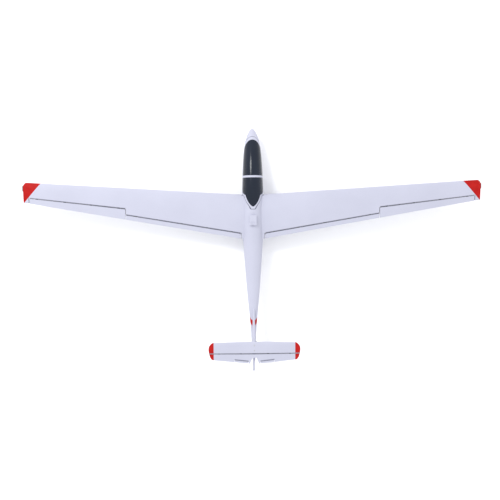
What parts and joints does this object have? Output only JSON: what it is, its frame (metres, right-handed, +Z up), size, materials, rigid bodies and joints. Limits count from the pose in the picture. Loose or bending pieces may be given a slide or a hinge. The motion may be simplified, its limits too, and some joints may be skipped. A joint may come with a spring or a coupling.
{
  "type": "rc glider",
  "caption": "Unpowered two-seat T-tail foam model glider with forward-swept wing, hinged control surfaces, lift-off canopy hatch and fixed wheels.",
  "frame": {"origin": "on the ground under the middle of the model, where the main and nose wheels stand", "axes": "+Z up, nose towards -Y, +X towards the left wing tip"},
  "size_m": [2.008, 1.086, 0.2272],
  "materials": {
    "white_foam": "moulded foam, matt",
    "canopy_tint": "dark glossy glazing",
    "carbon": "carbon fibre tube",
    "plywood": "thin plywood",
    "battery_wrap": "shrink wrap",
    "receiver_case": "moulded case",
    "ballast": "dull cast metal",
    "white_nylon": "moulded nylon",
    "black_nylon": "moulded nylon",
    "servo_case": "moulded servo case",
    "steel": "plain steel wire",
    "tyre": "rubber",
    "hub": "moulded hub"
  },
  "bodies": {
    "airframe": {"fuselage_left": "white_foam", "fuselage_right": "white_foam", "fuselage_magnets": "steel", "cockpit_tray": "plywood", "battery_pack": "battery_wrap", "receiver": "receiver_case", "nose_ballast": "ballast", "wing_joiner": "carbon", "wing_root_ribs": "white_nylon", "top_cover": "white_foam", "tow_hook": "steel", "wingtip_skids": "black_nylon", "wing_left": "white_foam", "wing_right": "white_foam", "spar_tube_left": "carbon", "spar_tube_right": "carbon", "wing_servos": "servo_case", "hinge_leaves": "white_nylon", "stabilizer": "white_foam", "stabilizer_screws": "steel", "tail_servos": "servo_case", "wheel_axles": "steel"},
    "canopy": {"canopy_frame": "white_foam", "canopy_glass_front": "canopy_tint", "canopy_glass_rear": "canopy_tint", "canopy_magnets": "steel"},
    "aileron_left": {"aileron_left": "white_foam", "aileron_left_fittings": "white_nylon"},
    "aileron_left_arm": {"aileron_left_servo_arm": "white_nylon"},
    "aileron_left_rod": {"aileron_left_pushrod": "steel"},
    "aileron_right": {"aileron_right": "white_foam", "aileron_right_fittings": "white_nylon"},
    "aileron_right_arm": {"aileron_right_servo_arm": "white_nylon"},
    "aileron_right_rod": {"aileron_right_pushrod": "steel"},
    "flap_left": {"flap_left": "white_foam", "flap_left_fittings": "white_nylon"},
    "flap_left_arm": {"flap_left_servo_arm": "white_nylon"},
    "flap_left_rod": {"flap_left_pushrod": "steel"},
    "flap_right": {"flap_right": "white_foam", "flap_right_fittings": "white_nylon"},
    "flap_right_arm": {"flap_right_servo_arm": "white_nylon"},
    "flap_right_rod": {"flap_right_pushrod": "steel"},
    "elevator": {"elevator": "white_foam", "elevator_fittings": "white_nylon"},
    "elevator_arm": {"elevator_servo_arm": "white_nylon"},
    "elevator_rod": {"elevator_pushrod": "steel"},
    "rudder": {"rudder": "white_foam", "rudder_fittings": "white_nylon"},
    "rudder_arm": {"rudder_servo_arm": "white_nylon"},
    "rudder_rod": {"rudder_pushrod": "steel"},
    "trim_tab_left": {"trim_tab_left": "white_foam"},
    "trim_tab_right": {"trim_tab_right": "white_foam"},
    "main_wheel": {"main_hub": "hub", "main_tyre": "tyre"},
    "nose_wheel": {"nose_hub": "hub", "nose_tyre": "tyre"},
    "tail_wheel": {"tail_wheel": "black_nylon"}
  },
  "joints": [
    {"name": "canopy_lift", "type": "slide", "parent": "airframe", "child": "canopy", "axis": [0, 0, 1], "range_m": [0, 0.12]},
    {"name": "aileron_left_hinge", "type": "hinge", "parent": "airframe", "child": "aileron_left", "pos_m": [0.768, -0.2123, 0.14328], "axis": [0.9922, -0.1141, 0.0495], "range_deg": [-22, 22]},
    {"name": "aileron_right_hinge", "type": "hinge", "parent": "airframe", "child": "aileron_right", "pos_m": [-0.768, -0.2123, 0.14328], "axis": [0.9922, 0.1141, -0.0495], "range_deg": [-22, 22]},
    {"name": "flap_left_hinge", "type": "hinge", "parent": "airframe", "child": "flap_left", "pos_m": [0.30675, -0.11905, 0.11871], "axis": [0.9849, -0.1654, 0.0512], "range_deg": [-35, 0]},
    {"name": "flap_right_hinge", "type": "hinge", "parent": "airframe", "child": "flap_right", "pos_m": [-0.30675, -0.11905, 0.11871], "axis": [0.9849, 0.1654, -0.0512], "range_deg": [-35, 0]},
    {"name": "elevator_hinge", "type": "hinge", "parent": "airframe", "child": "elevator", "pos_m": [0, 0.443, 0.222], "axis": [1, 0, 0], "range_deg": [-20, 20]},
    {"name": "rudder_hinge", "type": "hinge", "parent": "airframe", "child": "rudder", "pos_m": [0, 0.447, 0.15], "axis": [0, 0, 1], "range_deg": [-20, 20]},
    {"name": "trim_tab_left_hinge", "type": "hinge", "parent": "elevator", "child": "trim_tab_left", "pos_m": [0.056, 0.47425, 0.222], "axis": [0.9938, -0.1114, 0], "range_deg": [-14, 14]},
    {"name": "trim_tab_right_hinge", "type": "hinge", "parent": "elevator", "child": "trim_tab_right", "pos_m": [-0.056, 0.47425, 0.222], "axis": [0.9938, 0.1114, 0], "range_deg": [-14, 14]},
    {"name": "aileron_left_servo_arm", "type": "hinge", "parent": "airframe", "child": "aileron_left_arm", "pos_m": [0.64398, -0.25441, 0.13592], "axis": [0.9922, -0.1141, 0.0495], "range_deg": [-22, 22]},
    {"name": "aileron_left_pushrod", "type": "hinge", "parent": "aileron_left_arm", "child": "aileron_left_rod", "pos_m": [0.64462, -0.25448, 0.12293], "axis": [0.9922, -0.1141, 0.0495], "range_deg": [-22, 22]},
    {"name": "aileron_right_servo_arm", "type": "hinge", "parent": "airframe", "child": "aileron_right_arm", "pos_m": [-0.64398, -0.25441, 0.13592], "axis": [0.9922, 0.1141, -0.0495], "range_deg": [-22, 22]},
    {"name": "aileron_right_pushrod", "type": "hinge", "parent": "aileron_right_arm", "child": "aileron_right_rod", "pos_m": [-0.64462, -0.25448, 0.12293], "axis": [0.9922, 0.1141, -0.0495], "range_deg": [-22, 22]},
    {"name": "flap_left_servo_arm", "type": "hinge", "parent": "airframe", "child": "flap_left_arm", "pos_m": [0.25596, -0.17339, 0.1172], "axis": [0.9849, -0.1654, 0.0512], "range_deg": [-35, 0]},
    {"name": "flap_left_pushrod", "type": "hinge", "parent": "flap_left_arm", "child": "flap_left_rod", "pos_m": [0.25661, -0.1735, 0.10422], "axis": [0.9849, -0.1654, 0.0512], "range_deg": [0, 35]},
    {"name": "flap_right_servo_arm", "type": "hinge", "parent": "airframe", "child": "flap_right_arm", "pos_m": [-0.25596, -0.17339, 0.1172], "axis": [0.9849, 0.1654, -0.0512], "range_deg": [-35, 0]},
    {"name": "flap_right_pushrod", "type": "hinge", "parent": "flap_right_arm", "child": "flap_right_rod", "pos_m": [-0.25661, -0.1735, 0.10422], "axis": [0.9849, 0.1654, -0.0512], "range_deg": [0, 35]},
    {"name": "elevator_servo_arm", "type": "hinge", "parent": "airframe", "child": "elevator_arm", "pos_m": [0.012, 0.412, 0.168], "axis": [1, 0, 0], "range_deg": [-20, 20]},
    {"name": "elevator_pushrod", "type": "hinge", "parent": "elevator_arm", "child": "elevator_rod", "pos_m": [0.012, 0.4234, 0.16175], "axis": [1, 0, 0], "range_deg": [-20, 20]},
    {"name": "rudder_servo_arm", "type": "hinge", "parent": "airframe", "child": "rudder_arm", "pos_m": [-0.006, 0.416, 0.1205], "axis": [0, 0, 1], "range_deg": [-20, 20]},
    {"name": "rudder_pushrod", "type": "hinge", "parent": "rudder_arm", "child": "rudder_rod", "pos_m": [-0.019, 0.416, 0.1205], "axis": [0, 0, 1], "range_deg": [-20, 20]},
    {"name": "main_wheel_spin", "type": "hinge", "parent": "airframe", "child": "main_wheel", "pos_m": [0, -0.171, 0.025], "axis": [1, 0, 0], "continuous": true},
    {"name": "nose_wheel_spin", "type": "hinge", "parent": "airframe", "child": "nose_wheel", "pos_m": [0, -0.403, 0.018], "axis": [1, 0, 0], "continuous": true},
    {"name": "tail_wheel_spin", "type": "hinge", "parent": "airframe", "child": "tail_wheel", "pos_m": [0, 0.359, 0.091], "axis": [1, 0, 0], "continuous": true}
  ],
  "couplings": [
    {"joint": "aileron_right_hinge", "follows": "aileron_left_hinge", "ratio": -1},
    {"joint": "flap_right_hinge", "follows": "flap_left_hinge", "ratio": 1},
    {"joint": "trim_tab_right_hinge", "follows": "trim_tab_left_hinge", "ratio": 1},
    {"joint": "aileron_left_servo_arm", "follows": "aileron_left_hinge", "ratio": 1},
    {"joint": "aileron_left_pushrod", "follows": "aileron_left_hinge", "ratio": -1},
    {"joint": "aileron_right_servo_arm", "follows": "aileron_left_hinge", "ratio": -1},
    {"joint": "aileron_right_pushrod", "follows": "aileron_left_hinge", "ratio": 1},
    {"joint": "flap_left_servo_arm", "follows": "flap_left_hinge", "ratio": 1},
    {"joint": "flap_left_pushrod", "follows": "flap_left_hinge", "ratio": -1},
    {"joint": "flap_right_servo_arm", "follows": "flap_left_hinge", "ratio": 1},
    {"joint": "flap_right_pushrod", "follows": "flap_left_hinge", "ratio": -1},
    {"joint": "elevator_servo_arm", "follows": "elevator_hinge", "ratio": 1},
    {"joint": "elevator_pushrod", "follows": "elevator_hinge", "ratio": -1},
    {"joint": "rudder_servo_arm", "follows": "rudder_hinge", "ratio": 1},
    {"joint": "rudder_pushrod", "follows": "rudder_hinge", "ratio": -1}
  ]
}
